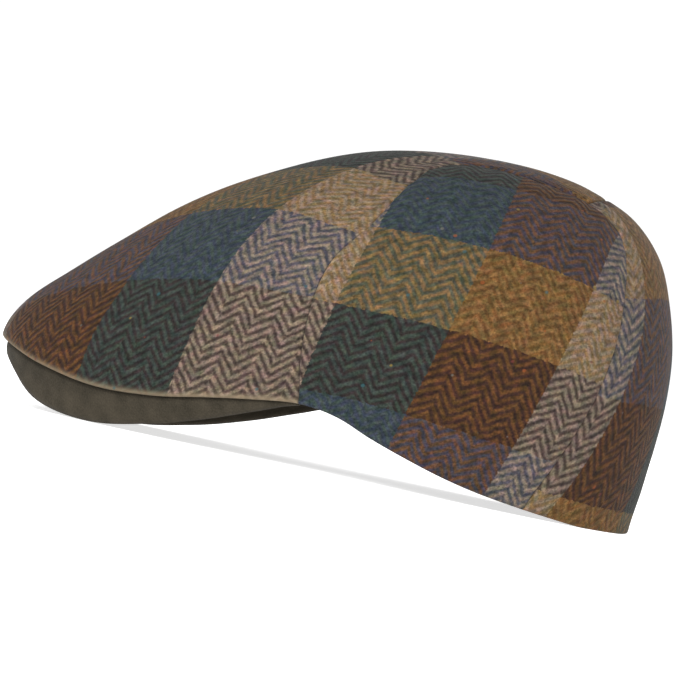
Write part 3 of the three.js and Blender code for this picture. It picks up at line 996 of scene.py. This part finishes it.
def peak_strip(direction):
    """Middle line of the board's section in one direction, as points from forehead to lip."""
    size = abs(direction)
    meet, outward = peak_meet(size)
    end = peak_meet(PEAK_END)[0]
    last_turn = math.acos((HEAD_MIDDLE - end[0]) / (HEAD_LENGTH / 2))
    turn = last_turn * size / PEAK_END
    fall = (1 - math.cos(turn)) / (1 - math.cos(last_turn))
    root = np.array([
        HEAD_MIDDLE - HEAD_LENGTH / 2 * math.cos(turn),
        (end[1] - PEAK_END_WIDTH) * math.sin(turn) / math.sin(last_turn),
        PEAK_ROOT_HEIGHT + fall * (end[2] - PEAK_ROOT_HEIGHT)])
    lip_share = float(along_edge(EDGE_LIP, size))
    lip = meet + outward * LIP_FLARE * lip_share
    lip[2] -= LIP_DEPTH * lip_share
    share = np.linspace(0, 1, BOARD_POINTS)[:, None]
    board = root + (meet - root) * share
    board[:, 2] += PEAK_CAMBER * np.sin(np.pi * share[:, 0])
    line = np.concatenate([board, meet + (lip - meet) * np.linspace(0, 1, LIP_POINTS)[1:, None]])
    for _ in range(BEND_ROUNDS):
        line[1:-1] = (line[:-2] + 2 * line[1:-1] + line[2:]) / 4
    return line * [1, -1 if direction < 0 else 1, 1]


# %% Loft the peak
PEAK_SECTIONS = 141
BOARD_EDGE = .9

directions = np.linspace(-PEAK_END, PEAK_END, PEAK_SECTIONS)
strips = np.array([peak_strip(d) for d in directions])
across_peak = np.gradient(strips, axis=0)
down_strip = np.gradient(strips, axis=1)
up_from_board = np.cross(down_strip, across_peak)
up_from_board /= np.linalg.norm(up_from_board, axis=-1, keepdims=True)
reach = run(strips, 1)
from_edges = np.minimum(reach, reach[:, -1:] - reach)
half = BOARD / 2 - roll(from_edges, BOARD / 2, BOARD / 2 * BOARD_EDGE)
over = strips + up_from_board * half[..., None]
under = strips - up_from_board * half[..., None]

# %% Cover the peak
peak = wall_mesh("peak_cover", over, under)[0]
along_peak = run(strips, 0)
put_map(peak, "cloth", np.stack([along_peak, reach], -1).reshape(-1, 2))
peak.data.materials.append(peak_cloth)
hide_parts("peak")
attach(peak, "root")

# %% [markdown]
# ## Floor, light and camera
# The cap stands on a white light table in front of a white backdrop, as in a shop's studio. The camera
# sees the backdrop fully white, but the room lights the cap only half as much, and four large soft
# lamps shape it: a key from the front left, two weak fills and one behind. The camera looks at the
# cap's left side from a little behind and just above the floor. The photograph shows the cap tipped up
# at the peak, so the camera is rolled instead, and the cap keeps resting as it would by itself.

# %% Floor
def floor_material():
    """White acrylic of a studio's light table, lit a little from below, which keeps shadows pale."""
    material, tree = new_material("white_light_table")
    shader = node(tree, "ShaderNodeBsdfPrincipled", {
        "Base Color": colour("#FAFAFA"), "Roughness": .9,
        "Emission Color": (1, 1, 1, 1), "Emission Strength": .7})
    node(tree, "ShaderNodeOutputMaterial", {0: shader.outputs[0]})
    return material


FLOOR_RADIUS = 15

bpy.ops.mesh.primitive_circle_add(vertices=96, radius=FLOOR_RADIUS, fill_type="NGON", location=(0, 0, 0))
floor = bpy.context.object
floor.name = "floor"
floor.data.materials.append(floor_material())

# %% White room
ROOM_LIGHT = .5
BACKDROP = 1.05


def white_room():
    """World that is white to the camera and lights the scene with a share of that."""
    world = bpy.data.worlds.new("white_room")
    world.use_nodes = True
    tree = world.node_tree
    tree.nodes.clear()
    seen = node(tree, "ShaderNodeLightPath").outputs["Is Camera Ray"]
    strength = node(tree, "ShaderNodeMapRange", {0: seen, 3: ROOM_LIGHT, 4: BACKDROP}).outputs[0]
    room = node(tree, "ShaderNodeBackground", {0: (1, 1, 1, 1), 1: strength})
    node(tree, "ShaderNodeOutputWorld", {0: room.outputs[0]})
    return world


bpy.context.scene.world = white_room()
bpy.context.scene.view_settings.view_transform = "Standard"

# %% Lamps
# Each lamp has its place and size in metres and its power in watts. They all face the cap's middle.
LAMPS = [
    ("key_light", (-.5, -2.0, 1.1), 1.0, 46),
    ("fill_light", (1.4, -1.4, .9), 1.6, 7),
    ("low_fill_light", (-.1, -1.9, .35), 1.4, 8),
    ("back_light", (.6, 2.0, .9), 1.4, 20),
]
LIT_PLACE = Vector((0, 0, .05))


def area_light(name, place, size, power):
    light = bpy.data.lights.new(name, "AREA")
    light.size = size
    light.energy = power
    lamp = bpy.data.objects.new(name, light)
    bpy.context.scene.collection.objects.link(lamp)
    lamp.location = place
    lamp.rotation_euler = (LIT_PLACE - Vector(place)).to_track_quat("-Z", "Y").to_euler()
    print(name, "at", place, "with", power, "W")


for lamp_row in LAMPS:
    area_light(*lamp_row)

# %% Camera
# Angles in degrees, distance and aim in metres. The lens shows PHOTO_WIDTH_MM across at that distance.
AZIMUTH = 6.0
ELEVATION = .3
ROLL = 12.1
DISTANCE = 2.6
PHOTO_WIDTH_MM = 276.8
AIM = (.0003, 0.0, .0526)
SENSOR = 36

azimuth, elevation, tilt = (math.radians(a) for a in (AZIMUTH, ELEVATION, ROLL))
back_way = Vector((
    math.sin(azimuth) * math.cos(elevation),
    -math.cos(azimuth) * math.cos(elevation),
    math.sin(elevation)))
right_way = Vector((math.cos(azimuth), math.sin(azimuth), 0))
up_way = back_way.cross(right_way)
tilted_right = right_way * math.cos(tilt) + up_way * math.sin(tilt)
tilted_up = up_way * math.cos(tilt) - right_way * math.sin(tilt)
camera = bpy.data.objects.new("camera", bpy.data.cameras.new("camera"))
bpy.context.scene.collection.objects.link(camera)
camera.data.sensor_width = SENSOR
camera.data.lens = SENSOR * DISTANCE / (PHOTO_WIDTH_MM * MM)
turned = Matrix((tilted_right, tilted_up, back_way)).transposed().to_4x4()
turned.translation = Vector(AIM) + back_way * DISTANCE
camera.matrix_world = turned
bpy.context.scene.camera = camera
print("lens in mm:", round(camera.data.lens, 1))
